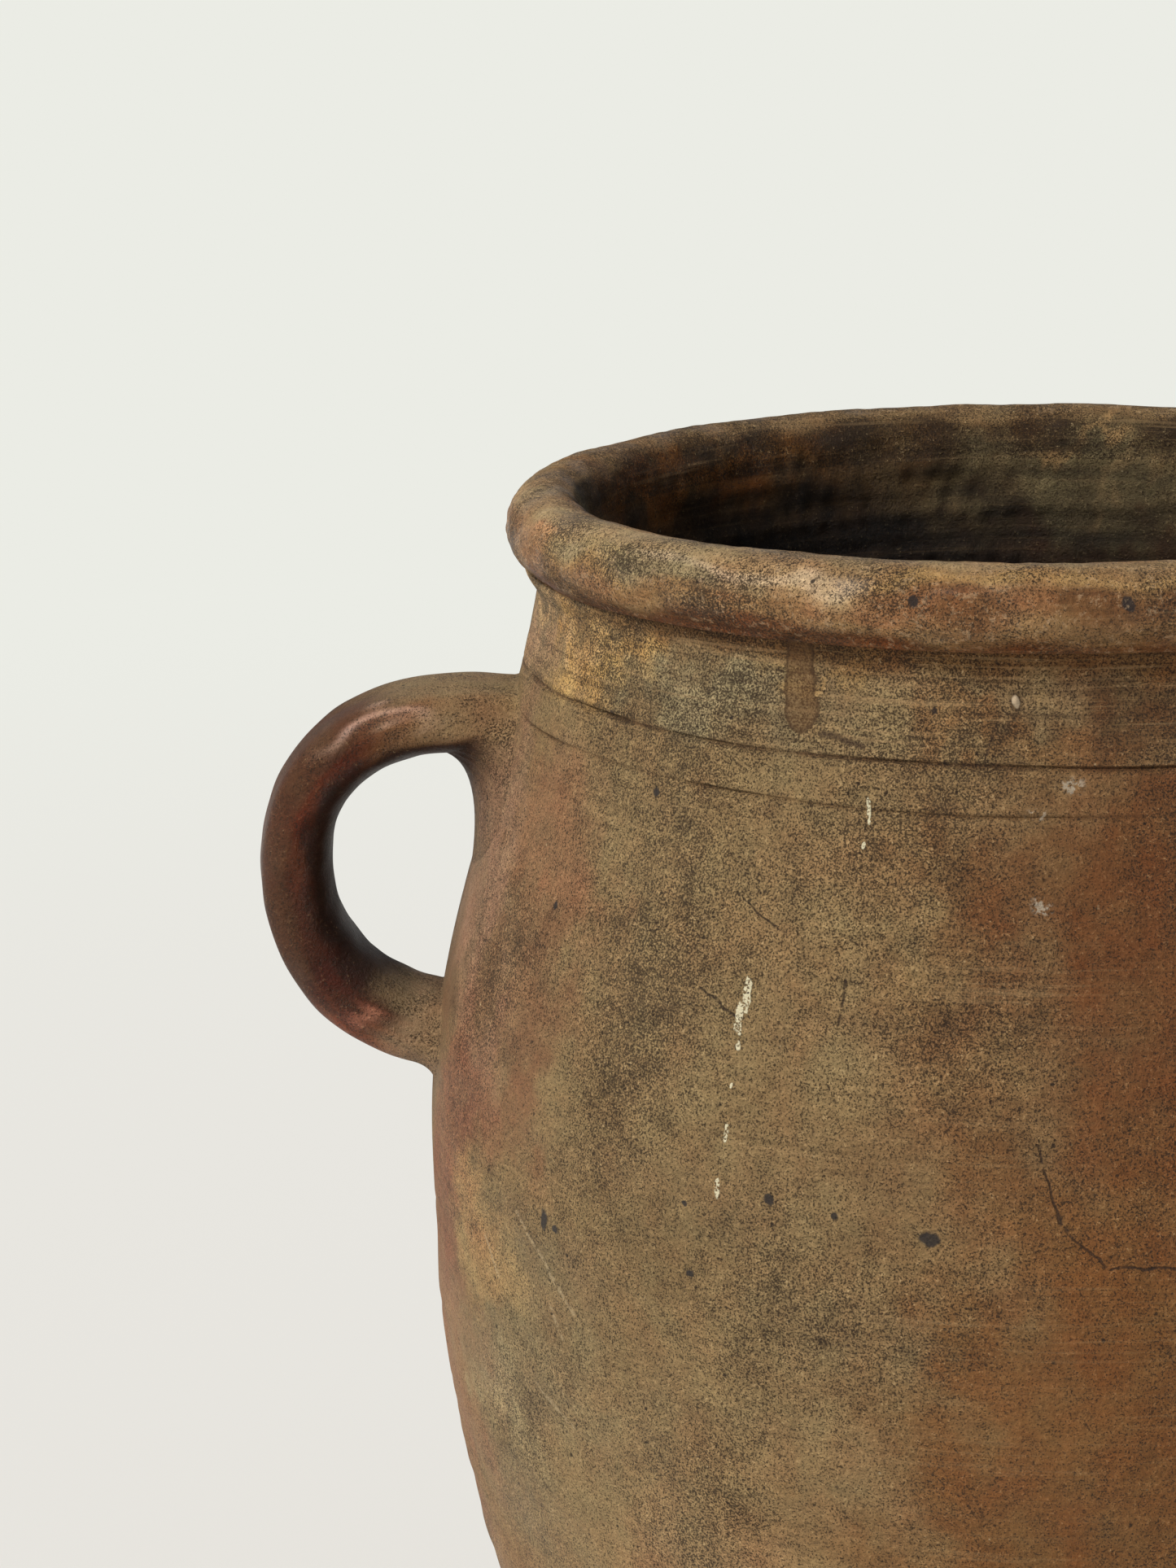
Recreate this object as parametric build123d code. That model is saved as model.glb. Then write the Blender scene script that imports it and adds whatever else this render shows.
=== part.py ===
"""Two-handled olive jar of unglazed earthenware, hand-thrown, with a rolled rim.

Once fired the jar is one hard shell, but it is put together from separate pieces of
clay, and each of those is a solid of its own here. A beaten floor disc carries two
thrown walls, one on the other. A neck collar stands on the upper wall, and a coil is
rolled over the collar's edge as the rim. Two straps, pulled by hand, stand out from
the shoulder as ear handles, and a wad of soft clay, the lute, is pressed round each
of their four roots. The seams between the walls are bevelled, so that each piece
sits on the slope of the one below. Two lines are scored round the shoulder on the
wheel: the upper one hides the seam of the collar.

+Z is up, the jar stands on z = 0, and the handles lie along X. Millimetres.
"""

import math
import os

from build123d import *

# Mouth and rolled rim
mouth_radius = 105.5  # straight inside wall, where a wooden lid's plug or a bung goes
mouth_depth = 20.0  # how far the straight wall runs down from the middle of the roll
rim_roll_radius = 9.75  # the coil that makes the rim is round

# Neck collar
neck_wall = 10.8  # thickness just under the rim
neck_lean = 12.0  # degrees that the neck's outside leans in where it meets the rim
collar_height = 22.1  # from the upper scored line to the crease under the rim

# Upper wall, from the belly seam to the upper scored line
upper_wall_height = 133.5
shoulder_radius = 130.2
shoulder_wall = 9.5
shoulder_below_collar = 33.5  # height of the shoulder's own radius, below the collar

# Lower wall, from the floor to the belly seam
lower_wall_height = 197.0
belly_radius = 146.4  # the widest place
belly_wall = 10.5
belly_above_seam = 16.0  # height of the widest place over the seam
foot_radius = 88.0
foot_wall = 13.5  # thickness where the wall leaves the floor
floor_cove = 12.0  # clay bevelled into the corner between floor and wall

# Floor disc
floor_thickness = 13.0
foot_edge_round = 4.0

# Bevelled seams and scored lines
seam_bevel = 30.0  # degrees that a seam rises towards the inside
score_width = 1.5
score_depth = 0.7
second_score_below_first = 9.4

# Ear handles: straps of flattened oval section
strap_width = 32.0
strap_thickness = 17.2
strap_foot_thickness = 20.3  # a pulled strap is left thicker towards its lower end
root_below_collar = 13.5  # from the upper scored line to the middle of the upper root
handle_drop = 78.0  # from the middle of the upper root to the middle of the lower one
handle_stand = 32.5  # the strap's middle stands this far out from the wall at its foot
root_sink = 6.0  # how far the strap's end is modelled into the wall before it is cut
root_flare = 2.4  # what the strap gains in width and in thickness at its roots

# Lutes: the soft clay pressed round the roots, most of it on the underside
lute_lip = 0.8  # thickness where a wad runs out on the strap
lute_drop = 1.8  # how far it hangs below the strap there
upper_lute_reach = 15.0  # how far along the strap it goes, from where that leaves the wall
upper_lute_spread = 8.0  # how far it spreads round the sunk end
upper_lute_sag = 28.0  # how much further it hangs at the sunk end
upper_lute_sink = 14.3  # how deep in the wall the middle of its end lies, before it is cut
lower_lute_reach = 10.0
lower_lute_spread = 6.0
lower_lute_sag = 5.0
lower_lute_sink = 6.8
lute_stand = 1.8  # how far out from the wall the middle of a wad lies, half way along

# A cut runs past the clay by this much
overrun = 10.0

# A height is found on a curve by halving this many times
halvings_count = 24

# Heights of the seams, from the floor up
lower_seam = floor_thickness
belly_seam = lower_seam + lower_wall_height
collar_seam = belly_seam + upper_wall_height
crease_height = collar_seam + collar_height
belly_height = belly_seam + belly_above_seam
shoulder_height = collar_seam - shoulder_below_collar

# The roll's middle stands over the neck, so that the crease lies on the neck's outside
neck_radius = mouth_radius + neck_wall
roll_middle_radius = mouth_radius + rim_roll_radius
crease_offset = neck_radius - roll_middle_radius
roll_middle_height = crease_height + math.sqrt(rim_roll_radius**2 - crease_offset**2)


def at(radius, height):
    """Point of the half section, which lies in the XZ plane."""
    return Vector(radius, 0, height)


def leaning(degrees):
    """Upward direction that leans towards the axis by an angle from the upright."""
    lean = math.radians(degrees)
    return Vector(-math.sin(lean), 0, math.cos(lean))


def foot_arc_radius_at(height):
    """Outer radius below the belly: one arc from the foot, upright at the belly."""
    bulge = belly_radius - foot_radius
    arc_radius = (belly_height**2 + bulge**2) / (2 * bulge)
    below = belly_height - height
    return belly_radius - arc_radius + math.sqrt(arc_radius**2 - below**2)


def shoulder_curve():
    """Outside of the jar from the belly to the crease under the rim."""
    return Spline(
        at(belly_radius, belly_height),
        at(shoulder_radius, shoulder_height),
        at(neck_radius, crease_height),
        tangents=[leaning(0), leaning(neck_lean)],
    )


def wall_radius_at(height):
    """Outer radius of the wall at a height, found on the curve by halving."""
    if height < belly_height:
        return foot_arc_radius_at(height)
    curve = shoulder_curve()
    low, high = 0.0, 1.0
    for _ in range(halvings_count):
        middle = (low + high) / 2
        if (curve @ middle).Z < height:
            low = middle
        else:
            high = middle
    return (curve @ low).X


def outside_edges():
    """Outline of the outside, from the axis under the floor to the crease."""
    foot = at(foot_radius, 0)
    belly = at(belly_radius, belly_height)
    return [
        Line(at(0, 0), foot),
        TangentArc(belly, foot, tangent=-leaning(0)),
        shoulder_curve(),
    ]


def rim_edge():
    """The roll, from the crease over the top to the straight wall of the mouth."""
    crease_angle = -math.acos(crease_offset / rim_roll_radius)
    top_angle = (crease_angle + math.pi) / 2

    def on_roll(angle):
        return at(
            roll_middle_radius + rim_roll_radius * math.cos(angle),
            roll_middle_height + rim_roll_radius * math.sin(angle),
        )

    return ThreePointArc(on_roll(crease_angle), on_roll(top_angle), on_roll(math.pi))


def inside_edges():
    """Outline of the inside, from the mouth down to the middle of the floor."""
    mouth_top = at(mouth_radius, roll_middle_height)
    mouth_foot = at(mouth_radius, roll_middle_height - mouth_depth)
    shoulder = at(shoulder_radius - shoulder_wall, shoulder_height)
    belly = at(belly_radius - belly_wall, belly_height)
    cove_height = floor_thickness + floor_cove
    cove_top = at(foot_arc_radius_at(cove_height) - foot_wall, cove_height)
    cove_foot = at(cove_top.X - floor_cove, floor_thickness)
    return [
        Line(mouth_top, mouth_foot),
        Spline(mouth_foot, shoulder, belly, tangents=[-leaning(0), -leaning(0)]),
        TangentArc(belly, cove_top, tangent=-leaning(0)),
        Line(cove_top, cove_foot),
        Line(cove_foot, at(0, floor_thickness)),
        Line(at(0, floor_thickness), at(0, 0)),
    ]


def score_cut(height):
    """Triangle that cuts one scored line into the outside of the half section."""
    surface = wall_radius_at(height)
    past = surface + score_depth
    return make_face(
        Polyline(
            at(surface - score_depth, height),
            at(past, height + score_width),
            at(past, height - score_width),
            close=True,
        )
    )


def seam_line(radius, height, bevel):
    """Ends of a seam's line, from the axis to beyond the wall."""
    beyond = belly_radius + shoulder_radius
    rise = math.tan(math.radians(bevel))
    return at(0, height + radius * rise), at(beyond, height - (beyond - radius) * rise)


def band(below, above):
    """The part of the XZ plane between two seam lines."""
    return make_face(Polyline(below[0], below[1], above[1], above[0], close=True))


def clay_sections():
    """Half section of each thrown or coiled piece, cut from the section of the jar."""
    outline = [*outside_edges(), rim_edge(), *inside_edges()]
    jar = make_face(Wire([edge for part in outline for edge in part.edges()]))
    for height in (collar_seam, collar_seam - second_score_below_first):
        jar -= score_cut(height)
    top = roll_middle_height + rim_roll_radius + overrun
    seams = [
        seam_line(foot_radius, -overrun, 0),
        seam_line(foot_radius, lower_seam, 0),
        seam_line(wall_radius_at(belly_seam), belly_seam, seam_bevel),
        seam_line(wall_radius_at(collar_seam), collar_seam, seam_bevel),
        seam_line(neck_radius, crease_height, seam_bevel),
        seam_line(mouth_radius, top, seam_bevel),
    ]
    names = ("floor_disc", "lower_wall", "upper_wall", "neck_collar", "rolled_rim")
    return {
        name: jar & band(below, above)
        for name, below, above in zip(names, seams, seams[1:])
    }


def strap_path():
    """Middle line of the strap: level out of the shoulder, over, and back in below."""
    root_height = collar_seam - root_below_collar
    foot_height = root_height - handle_drop
    root_radius = wall_radius_at(root_height)
    foot_wall_radius = wall_radius_at(foot_height)
    out = foot_wall_radius + handle_stand - root_radius
    # Shares of the way out from each root, and of the drop, at which the strap passes
    upper_shares = ((0.41, 0.002), (0.81, 0.125), (1.0, 0.44))
    lower_shares = ((0.84, 0.735), (0.37, 0.93))
    points = [at(root_radius - root_sink, root_height)]
    for out_share, drop_share in upper_shares:
        height = root_height - drop_share * handle_drop
        points.append(at(root_radius + out_share * out, height))
    for out_share, drop_share in lower_shares:
        height = root_height - drop_share * handle_drop
        points.append(at(foot_wall_radius + out_share * handle_stand, height))
    points.append(at(foot_wall_radius - root_sink, foot_height))
    return Spline(*points)


def strap_section(path, share, grow=0, move=Vector(0, 0, 0)):
    """Oval across the strap at a share of its path, grown all round and moved."""
    past_half = max(0, 2 * share - 1)
    swell = (strap_foot_thickness - strap_thickness) * math.sin(past_half * math.pi / 2)
    flare = root_flare * (2 * share - 1) ** 6
    middle = path.position_at(share) + move
    across = Plane(origin=middle, x_dir=(0, 1, 0), z_dir=path.tangent_at(share))
    return across * Ellipse(
        (strap_width + flare) / 2 + grow, (strap_thickness + swell + flare) / 2 + grow
    )


def strap(path):
    """The pulled strap, a skin over ovals along its path."""
    section_count = 13
    shares = [step / (section_count - 1) for step in range(section_count)]
    return loft([strap_section(path, share) for share in shares])


def leaving_share(path, end):
    """Share of the path, from one end, at which the strap's underside leaves the wall."""
    sunk, clear = 0, 1 / 2
    for _ in range(halvings_count):
        middle = (sunk + clear) / 2
        under = path.position_at(abs(end - middle)) - Vector(0, 0, strap_thickness / 2)
        if under.X < wall_radius_at(under.Z):
            sunk = middle
        else:
            clear = middle
    return sunk


def lute(path, end, reach, spread, sag, sink):
    """Wad under the root at share 0 or 1: thick at the wall, thin out on the strap.

    It lies low enough all along that the strap's upper side comes out of it bare. Its
    thick end is sunk in the wall, and half way along it stands on the wall's outside.
    """
    reach_share = leaving_share(path, end) + reach / path.length
    sections = []
    for near in (1, 1 / 2, 0):
        share = abs(end - reach_share * (1 - near))
        grow = lute_lip + (spread - lute_lip) * near**2
        drop = lute_drop + sag * near
        out = 0
        if near > 0:
            middle = path.position_at(share)
            stand = -sink if near == 1 else lute_stand
            out = wall_radius_at(middle.Z - drop) + stand - middle.X
        sections.append(strap_section(path, share, grow, Vector(out, 0, -drop)))
    return loft(sections)


# The thrown and coiled pieces are turned about the jar's axis
pieces = {
    name: revolve(section, axis=Axis.Z) for name, section in clay_sections().items()
}
standing_edge = pieces["floor_disc"].edges().sort_by(Axis.Z)[0]
pieces["floor_disc"] = fillet(standing_edge, foot_edge_round)

# The handles and their lutes are cut to the outside of the wall that carries them
path = strap_path()
inside = [Line(at(neck_radius, crease_height), at(0, crease_height))]
inside.append(Line(at(0, crease_height), at(0, 0)))
core_outline = [*outside_edges(), *inside]
core = revolve(
    make_face(Wire([edge for part in core_outline for edge in part.edges()])),
    axis=Axis.Z,
)
handle_body = strap(path)
upper_sizes = (upper_lute_reach, upper_lute_spread, upper_lute_sag, upper_lute_sink)
lower_sizes = (lower_lute_reach, lower_lute_spread, lower_lute_sag, lower_lute_sink)
upper_wad = lute(path, 0, *upper_sizes)
lower_wad = lute(path, 1, *lower_sizes)
handle_parts = {
    "handle": handle_body - core,
    "handle_upper_lute": upper_wad - handle_body - core,
    "handle_lower_lute": lower_wad - handle_body - core,
}
for name, solid in handle_parts.items():
    pieces["right_" + name] = solid
    pieces["left_" + name] = solid.rotate(Axis.Z, 180)

os.makedirs("parts", exist_ok=True)
for name, solid in pieces.items():
    export_step(solid, f"parts/{name}.step")
    box = solid.bounding_box()
    print(name, "solids", len(solid.solids()), "volume", round(solid.volume), box.size)
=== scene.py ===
"""Two-handled olive jar of unglazed earthenware, clouded by flame and smoke in the kiln.

Metres, +Z up. The jar stands on z = 0 with its handles along X and its front towards -Y.
Azimuths are degrees counter-clockwise from +X: the left handle is at 180, the front at
270. A name or a table in millimetres says so.
"""

import math
from functools import reduce

import bpy
import numpy as np
from mathutils import Matrix, Vector


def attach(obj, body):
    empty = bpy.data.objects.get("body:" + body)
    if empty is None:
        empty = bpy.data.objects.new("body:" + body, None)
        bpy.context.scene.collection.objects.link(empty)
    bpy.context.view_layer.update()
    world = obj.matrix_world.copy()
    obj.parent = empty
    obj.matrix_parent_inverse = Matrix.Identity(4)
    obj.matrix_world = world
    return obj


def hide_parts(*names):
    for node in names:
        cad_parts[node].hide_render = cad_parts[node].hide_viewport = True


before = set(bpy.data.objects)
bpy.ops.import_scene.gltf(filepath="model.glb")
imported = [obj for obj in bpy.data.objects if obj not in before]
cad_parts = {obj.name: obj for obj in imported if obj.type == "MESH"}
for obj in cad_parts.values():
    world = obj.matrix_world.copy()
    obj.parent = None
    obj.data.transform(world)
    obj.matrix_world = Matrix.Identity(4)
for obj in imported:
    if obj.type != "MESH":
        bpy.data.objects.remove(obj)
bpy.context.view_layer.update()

MM = 0.001


# Floor disc
# A beaten disc of clay on the wheel head, cut free with a wire, its standing edge rubbed
# round with a thumb. The walls are thrown on it, and the inside shows only from above.

FLOOR_TOP = 13 * MM
FOOT_RADIUS = 88 * MM
FOOT_EDGE_ROUND = 4 * MM
BELLY_RADIUS = 146.4 * MM
BELLY_HEIGHT = 226 * MM
FOOT_ARC_RADIUS = 466.5 * MM

# Heights in millimetres that the colours keep to
FIRST_LINE_MM = 343.5
SECOND_LINE_MM = 334.1
NECK_STARTS_MM = 341
UNDER_CREASE_MM = 359.4
CREASE_MM = 364.2


def arc_below(height, belly_radius, arc_radius):
    """Radius on an arc that stands upright at the belly and curves in towards the foot."""
    below = np.clip(BELLY_HEIGHT - height, 0, BELLY_HEIGHT)
    return belly_radius - arc_radius + np.sqrt(arc_radius**2 - below**2)


def smooth(x):
    """0 up to 0, 1 from 1 on, with a soft bend at both ends: 3 x^2 - 2 x^3."""
    x = np.clip(x, 0, 1)
    return x * x * (3 - 2 * x)


def bell(x, middle, width):
    """1 at the middle, less to both sides: e to the minus square of the widths away."""
    return np.exp(-(((x - middle) / width) ** 2))


def turned_from(azimuth, degrees):
    """The shorter way round from one azimuth to others, -180 to 180."""
    return (azimuth - degrees + 180) % 360 - 180


def waves(azimuth, height, feature, seed, stretch=1):
    """Even unevenness: 20 sine waves across the unrolled wall, in every direction.

    A wave's length is near twice the feature's size. Each runs a whole number of times
    round the jar, so the wall closes. stretch lengthens the features round the jar. The
    result has a mean of 0 and a spread of about 1.
    """
    rng = np.random.default_rng(seed)
    turn = np.radians(azimuth)
    total = np.zeros(np.broadcast(azimuth, height).shape)
    for _ in range(20):
        direction, phase = rng.uniform(0, 2 * math.pi, 2)
        rate = math.pi / feature * rng.uniform(0.6, 1.4)
        around = round(rate * math.cos(direction) * BELLY_RADIUS / stretch)
        total += np.sin(around * turn + rate * math.sin(direction) * height + phase)
    return total / math.sqrt(10)


def crease_rise(azimuth):
    """How much higher the crease under the rim lies than the collar was cut, in mm."""
    return 1.8 - 1.1 * bell(azimuth, 198, 14)


def stray(azimuth, height):
    """How far the scored lines and the crease stray up and down on their way round."""
    turn = np.radians(azimuth)
    first = 0.35 * np.sin(2 * turn + 0.6) + 0.22 * np.sin(7 * turn + 2)
    second = 0.3 * np.sin(3 * turn + 4) + 0.25 * np.sin(5 * turn + 1)
    near_first = bell(height / MM, FIRST_LINE_MM, 3.6)
    near_second = bell(height / MM, SECOND_LINE_MM, 3.6)
    near_crease = crease_rise(azimuth) * smooth((height / MM - 354) / 11.6)
    return MM * (first * near_first + second * near_second + near_crease)


def tone(red, green, blue):
    """Colour of the clay as linear light, from the usual 0 to 255 values."""
    share = np.array([red, green, blue]) / 255
    return np.where(share <= 0.04045, share / 12.92, ((share + 0.055) / 1.055) ** 2.4)


YELLOW = tone(196, 154, 94)
OCHRE = tone(172, 140, 90)
LICHEN = tone(138, 124, 92)
FAWN = tone(122, 85, 51)
SAND = tone(142, 115, 78)
OLIVE = tone(124, 102, 70)
GREY_OLIVE = tone(120, 105, 77)
SMOKE = tone(92, 72, 46)
PINK = tone(148, 112, 82)
MAUVE = tone(130, 86, 62)
RED = tone(142, 88, 60)
RUST = tone(118, 74, 43)
TAWNY = tone(106, 69, 36)
BROWN = tone(93, 55, 28)
UMBER = tone(62, 38, 20)
# Near black, painted as shade inside the mouth
MOUTH_SHADE = tone(13, 7, 4)
# The brown inside the mouth, under its painted shade
MOUTH_BROWN = tone(66, 46, 24)

# Patches left by flame and smoke, laid one over another: azimuth, height in mm, half
# width in degrees, half height in mm, lean to the right in degrees, tone, strength
FRONT_CLOUDS = [
    (225, 300, 60, 60, 0, OLIVE, 0.85),
    (280, 300, 26, 85, 0, BROWN, 0.9),
    (270, 215, 20, 60, 6, TAWNY, 0.85),
    (264, 150, 22, 70, 0, TAWNY, 0.8),
    (283, 190, 16, 90, 0, TAWNY, 0.6),
    (252, 286, 7, 60, 0, FAWN, 0.3),
    (230, 150, 26, 60, 0, SAND, 0.5),
    (238, 150, 14, 26, 30, PINK, 0.3),
    (235, 235, 20, 48, 0, OLIVE, 0.7),
    (212, 185, 18, 40, 25, GREY_OLIVE, 0.55),
    (222, 170, 12, 26, 35, SAND, 0.25),
    (186, 172, 11, 60, 0, tone(136, 98, 76), 0.6),
    (196, 176, 8, 30, 10, tone(138, 104, 76), 0.6),
    (192, 215, 8, 20, 10, tone(122, 84, 62), 0.85),
    (198, 268, 7, 30, -12, tone(144, 102, 80), 0.6),
    (209, 286, 9, 30, -10, MAUVE, 0.35),
    (196, 240, 9, 24, -35, MAUVE, 0.75),
    (192, 300, 10, 40, 0, tone(144, 110, 86), 0.75),
    (207, 315, 11, 20, 0, MAUVE, 0.45),
    (205, 220, 9, 14, 10, tone(172, 138, 92), 0.5),
    (202, 246, 9, 13, 0, tone(117, 79, 54), 0.5),
    (210, 258, 5, 9, 0, tone(114, 76, 52), 0.5),
    (214, 226, 5, 9, 0, tone(106, 90, 64), 0.5),
    (179, 268, 13, 36, 0, tone(102, 77, 57), 0.75),
    (210, 280, 6, 26, 0, tone(88, 61, 42), 0.42),
    (207, 180, 6, 12, 0, tone(166, 146, 108), 0.4),
    (247, 276, 9, 50, 0, OLIVE, 0.3),
    (240, 320, 14, 16, 0, SAND, 0.2),
    (250, 262, 12, 18, 0, tone(106, 82, 54), 0.4),
    (228, 262, 12, 9, 15, SMOKE, 0.12),
    (231, 240, 14, 10, -10, SMOKE, 0.35),
    (266, 322, 14, 16, 0, BROWN, 0.5),
]
# The neck and the crease under the rim
NECK_CLOUDS = [
    (225, 354, 70, 12, 0, GREY_OLIVE, 0.6),
    (204, 355, 10, 8, -20, YELLOW, 0.65),
    (211, 353, 8, 6, -30, YELLOW, 0.65),
    (214, 348, 6, 4, -30, OCHRE, 0.5),
    (187, 349, 9, 9, 0, tone(178, 140, 104), 0.7),
    # Painted light, lifting the rim's shadow on the left of the neck
    (195, 362, 15, 4, 0, tone(208, 170, 120), 0.7),
    (226, 353, 11, 9, 0, LICHEN, 0.75),
    (252, 353, 12, 8, 0, SAND, 0.45),
    (245, 361, 14, 3, 0, OCHRE, 0.5),
    (266, 356, 7, 4, 0, OLIVE, 0.4),
    (262, 347, 16, 5, 0, FAWN, 0.7),
    (281, 352, 19, 15, 0, tone(82, 53, 29), 0.85),
    (276, 357, 5, 4, 0, SMOKE, 0.6),
]
# Inside the mouth: brown clouds, and near-black ones that are painted shade where the light does
# not reach
MOUTH_CLOUDS = [
    (90, 300, 300, 34, 0, MOUTH_SHADE, 0.8),
    (72, 365, 32, 18, 0, tone(84, 73, 50), 0.85),
    (140, 374, 26, 9, 0, tone(100, 60, 22), 0.8),
    (118, 344, 36, 21, 0, MOUTH_SHADE, 0.98),
    (75, 340, 40, 12, 0, UMBER, 0.7),
    (150, 350, 14, 14, 0, MOUTH_SHADE, 0.6),
    (174, 366, 12, 14, 0, tone(84, 74, 50), 0.8),
    (75, 374, 11, 2.5, 0, tone(134, 104, 68), 0.6),
    (68, 365, 6, 3.5, 20, tone(134, 108, 74), 0.35),
]
# The sides that the kiln's fire reached in its own way: clouds drawn by chance, with olive
# twice as likely as any other tone
BACK_TONES = [OLIVE, GREY_OLIVE, SAND, OCHRE, PINK, MAUVE, RED, RUST, BROWN, OLIVE]
fire = np.random.default_rng(5)
BACK_CLOUDS = [
    (
        fire.uniform(285, 530), fire.uniform(40, 345), fire.uniform(7, 24),
        fire.uniform(14, 50), fire.uniform(-35, 35), BACK_TONES[fire.integers(len(BACK_TONES))],
        fire.uniform(0.35, 0.75),
    )
    for _ in range(34)
]


def strayed(azimuth, height):
    """Places bent by three sizes of unevenness, so that no cloud's edge comes out even."""
    drift = 2.2 * waves(azimuth, height, 0.016, 21) + waves(azimuth, height, 0.006, 22)
    drift += 0.7 * waves(azimuth, height, 0.0028, 25)
    rise = 3.6 * waves(azimuth, height, 0.018, 23) + 1.6 * waves(azimuth, height, 0.006, 24)
    rise += 1.2 * waves(azimuth, height, 0.0028, 26)
    return azimuth + drift, height / MM + rise


def laid(colour, cover, over):
    """One colour laid over another, as far as cover says at each place, 0 to 1."""
    return colour + cover[..., None] * (over - colour)


def clouded(places, clouds, colour):
    """Lays clouds over a colour, each by how far inside its leaning ellipse a place lies."""
    mm_per_degree = math.radians(1) * BELLY_RADIUS / MM
    for degrees, mm, half_degrees, half_mm, lean, cloud, strength in clouds:
        across = turned_from(places[0], degrees) * mm_per_degree
        up = places[1] - mm
        cosine, sine = math.cos(math.radians(lean)), math.sin(math.radians(lean))
        far = np.hypot(
            (across * cosine - up * sine) / (half_degrees * mm_per_degree),
            (across * sine + up * cosine) / half_mm,
        )
        colour = laid(colour, strength * smooth(1.35 - far), cloud)
    return colour


def outside_colour(azimuth, height, places, on_neck):
    """Kiln clouds, painted shade in the crease and scored lines, and a brown band under it,
    partly painted shade.
    """
    colour = laid(OLIVE, 0.6 * smooth((0.19 - height) / 0.1), PINK)
    colour = clouded(places, FRONT_CLOUDS, clouded(places, BACK_CLOUDS, colour))
    neck = clouded(places, NECK_CLOUDS, 0.5 * OLIVE + 0.5 * colour)
    colour = laid(colour, on_neck, neck)
    level = (height - stray(azimuth, height)) / MM
    # Painted shade under the rim, left off round azimuth 190: in the crease, and partly in the
    # brown band
    bare = 1 - 0.9 * bell(azimuth, 190, 24)
    ragged = 0.9 * waves(azimuth, height, 0.012, 31)
    band = smooth((level - UNDER_CREASE_MM - ragged) / 3)
    colour = laid(colour, 0.75 * bare * band, tone(108, 70, 37))
    colour = laid(colour, 0.8 * bare * smooth((level - CREASE_MM) / 2), UMBER)
    # Painted shade in the scored lines
    scored = 0.8 * bell(level, FIRST_LINE_MM, 0.55) + 0.5 * bell(level, SECOND_LINE_MM, 0.45)
    scored *= smooth(0.9 + 0.35 * waves(azimuth, 0 * height, 0.012, 35))
    return laid(colour, scored, UMBER)


def inside_colour(azimuth, height, places):
    """Browns in the mouth with painted shade, darkest in the shade of the neck, and streaked."""
    colour = clouded(places, MOUTH_CLOUDS, np.zeros(height.shape + (3,)) + MOUTH_BROWN)
    mm = height / MM
    # Painted shade: darker below the neck, lighter again further down
    deep = 1 - 0.65 * smooth((370 - mm) / 22) + 0.35 * smooth((305 - mm) / 50)
    streaks = waves(azimuth, height, 0.004, 36, stretch=4)
    return colour * (deep * np.clip(1 + 0.25 * streaks, 0.3, 2))[..., None]


def wall_paint(azimuth, height, inside):
    """Colours of the wall, and how much pepper, gloss and wheel marking it has there.

    Pepper grows towards the neck, and is less at the front right and by the left handle.
    """
    places = strayed(azimuth, height)
    on_neck = smooth((height / MM - NECK_STARTS_MM) / 4)
    inside = np.broadcast_to(inside, height.shape)
    colour = outside_colour(azimuth, height, places, on_neck)
    colour = laid(colour, inside, inside_colour(azimuth, height, places))
    pepper = 0.56 + 0.19 * smooth((height - 0.2) / 0.12) + 0.2 * on_neck
    pepper -= 0.24 * bell(azimuth, 275, 20) + 0.32 * bell(azimuth, 184, 17)
    pepper += 0.14 * waves(azimuth, height, 0.03, 32)
    pepper = np.clip(pepper, 0, 1.1) * (1 - 0.6 * inside)
    gloss = 0.2 + 0.1 * waves(azimuth, height, 0.02, 33)
    wheel = 0.25 + 0.2 * waves(azimuth, height, 0.02, 34, stretch=3)
    wheel = np.clip(wheel + 0.75 * on_neck, 0, 1) * (1 - 0.8 * inside)
    return {"kiln_colour": colour, "kiln_marks": np.stack([pepper, gloss, wheel], -1)}


class Wire:
    """An output socket of a recipe. Arithmetic on it adds Math nodes."""

    def __init__(self, recipe, socket):
        self.recipe, self.socket = recipe, socket

    def other(self, output):
        """Another output of the same node."""
        return Wire(self.recipe, self.socket.node.outputs[output])

    def math(self, operation, *others, clamp=False):
        return self.recipe.node(
            "ShaderNodeMath", {"operation": operation, "use_clamp": clamp},
            dict(enumerate((self, *others))),
        )

    def __add__(self, other):
        return self.math("ADD", other)

    __radd__ = __add__

    def __sub__(self, other):
        return self.math("SUBTRACT", other)

    def __rsub__(self, other):
        return (self * -1) + other

    def __mul__(self, other):
        return self.math("MULTIPLY", other)

    __rmul__ = __mul__

    def step(self, low, high):
        """0 below low, 1 above high, soft between; the other way round if high < low."""
        return self.recipe.node(
            "ShaderNodeMapRange", {"interpolation_type": "SMOOTHSTEP"},
            {"Value": self, "From Min": low, "From Max": high},
        )


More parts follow.
